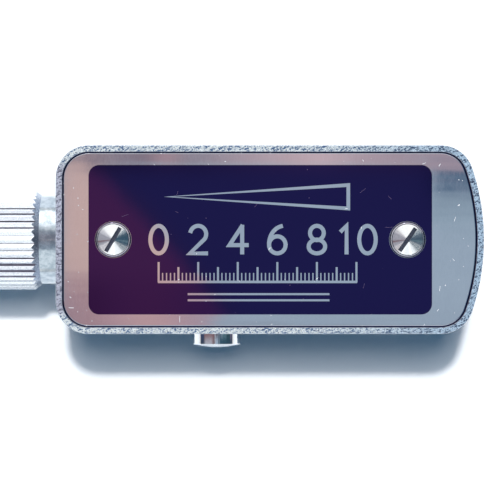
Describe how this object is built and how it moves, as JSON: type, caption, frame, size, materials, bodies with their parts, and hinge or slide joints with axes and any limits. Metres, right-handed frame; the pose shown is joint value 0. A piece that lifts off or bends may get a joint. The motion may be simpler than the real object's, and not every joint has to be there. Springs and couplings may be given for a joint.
{
  "type": "clockwork self-timer",
  "caption": "Small clockwork self-timer: a metal box with a knurled screw-on collar and release pin, a start button, a winding knob and a gear train inside.",
  "frame": {"origin": "shoulder of the release tip, on the plunger's axis", "axes": "+X along the plunger's axis from the tip to the case's far end, +Z out of the name plate, -Y out of the start button"},
  "size_m": [0.0636, 0.0197, 0.0159],
  "materials": {
    "case_metal": "fine cross-brushed satin nickel",
    "plate_metal": "semi-bright anodised aluminium with a dark etched panel",
    "screw_metal": "bright turned steel",
    "collar_metal": "bright nickel plate over a straight knurl",
    "knob_metal": "turned aluminium with a knurled edge",
    "button_metal": "polished chrome",
    "brass": "clean rolled brass",
    "steel": "ground steel",
    "dark_steel": "oiled black steel",
    "blued_steel": "blued spring steel"
  },
  "bodies": {
    "case": {"case_shell": "case_metal", "name_plate": "plate_metal", "plate_screws": "screw_metal", "back_screws": "screw_metal", "nose_block": "brass", "back_plate": "brass", "middle_plate": "brass", "front_plate": "brass", "pillars": "brass", "pillar_screws": "blued_steel", "rack_guides": "brass", "spring_post": "steel", "mainspring": "blued_steel", "button_spring": "blued_steel", "button_guide": "brass", "guide_screw": "blued_steel", "lever_post": "steel", "lever_spring": "blued_steel"},
    "collar": {"coupling_collar": "collar_metal", "release_tip": "collar_metal", "collar_circlip": "dark_steel"},
    "plunger": {"plunger_pin": "steel", "plunger_rod": "steel", "rod_nut": "dark_steel", "rack_slide": "steel"},
    "winder": {"winding_knob": "knob_metal", "knob_screw": "screw_metal", "winding_arbor": "steel", "ratchet_wheel": "steel"},
    "great": {"great_wheel": "brass", "click": "steel", "click_pin": "steel", "click_spring": "blued_steel"},
    "second": {"second_arbor": "steel", "second_wheel": "brass"},
    "third": {"third_arbor": "steel", "third_wheel": "brass"},
    "escape": {"escape_arbor": "steel", "escape_wheel": "brass"},
    "balance": {"pallet_arbor": "steel", "pallet_lever": "steel", "balance_weight": "brass"},
    "button": {"start_button": "button_metal"},
    "lever": {"stop_lever": "steel"}
  },
  "joints": [
    {"name": "collar_turn", "type": "hinge", "parent": "case", "child": "collar", "pos_m": [0, 0, 0], "axis": [1, 0, 0], "continuous": true},
    {"name": "knob_wind", "type": "hinge", "parent": "case", "child": "winder", "pos_m": [0.03, 0, 0], "axis": [0, 0, 1], "range_deg": [0, 168], "stiffness_Nm_per_rad": 0.002, "springref_deg": -28.65, "deforming": ["mainspring"]},
    {"name": "plunger_slide", "type": "slide", "parent": "case", "child": "plunger", "axis": [1, 0, 0], "range_m": [0, 0.007]},
    {"name": "great_spin", "type": "hinge", "parent": "case", "child": "great", "pos_m": [0.03, 0, 0], "axis": [0, 0, 1], "range_deg": [0, 168]},
    {"name": "second_spin", "type": "hinge", "parent": "case", "child": "second", "pos_m": [0.03585, -0.00337, 0], "axis": [0, 0, 1], "range_deg": [-736, 0]},
    {"name": "third_spin", "type": "hinge", "parent": "case", "child": "third", "pos_m": [0.04015, 0.00024, 0], "axis": [0, 0, 1], "range_deg": [0, 2942]},
    {"name": "escape_spin", "type": "hinge", "parent": "case", "child": "escape", "pos_m": [0.04316, 0.00423, 0], "axis": [0, 0, 1], "range_deg": [-11762, 0]},
    {"name": "pallet_rock", "type": "hinge", "parent": "case", "child": "balance", "pos_m": [0.04541, 0.00155, 0], "axis": [0, 0, 1], "range_deg": [-5, 5]},
    {"name": "button_press", "type": "slide", "parent": "case", "child": "button", "axis": [0, 1, 0], "range_m": [0, 0.0008], "stiffness_N_per_m": 600, "springref_m": -0.001, "deforming": ["button_spring", "lever_spring"]},
    {"name": "lever_swing", "type": "hinge", "parent": "case", "child": "lever", "pos_m": [0.0335, -0.0073, 0], "axis": [0, 0, 1], "range_deg": [-5.7, 0]}
  ],
  "couplings": [
    {"joint": "knob_wind", "follows": "plunger_slide", "rad_per_m": 416.67},
    {"joint": "great_spin", "follows": "plunger_slide", "rad_per_m": 416.67},
    {"joint": "second_spin", "follows": "plunger_slide", "rad_per_m": -1833.3},
    {"joint": "third_spin", "follows": "plunger_slide", "rad_per_m": 7333.3},
    {"joint": "escape_spin", "follows": "plunger_slide", "rad_per_m": -29333},
    {"joint": "lever_swing", "follows": "button_press", "rad_per_m": -121.95}
  ]
}
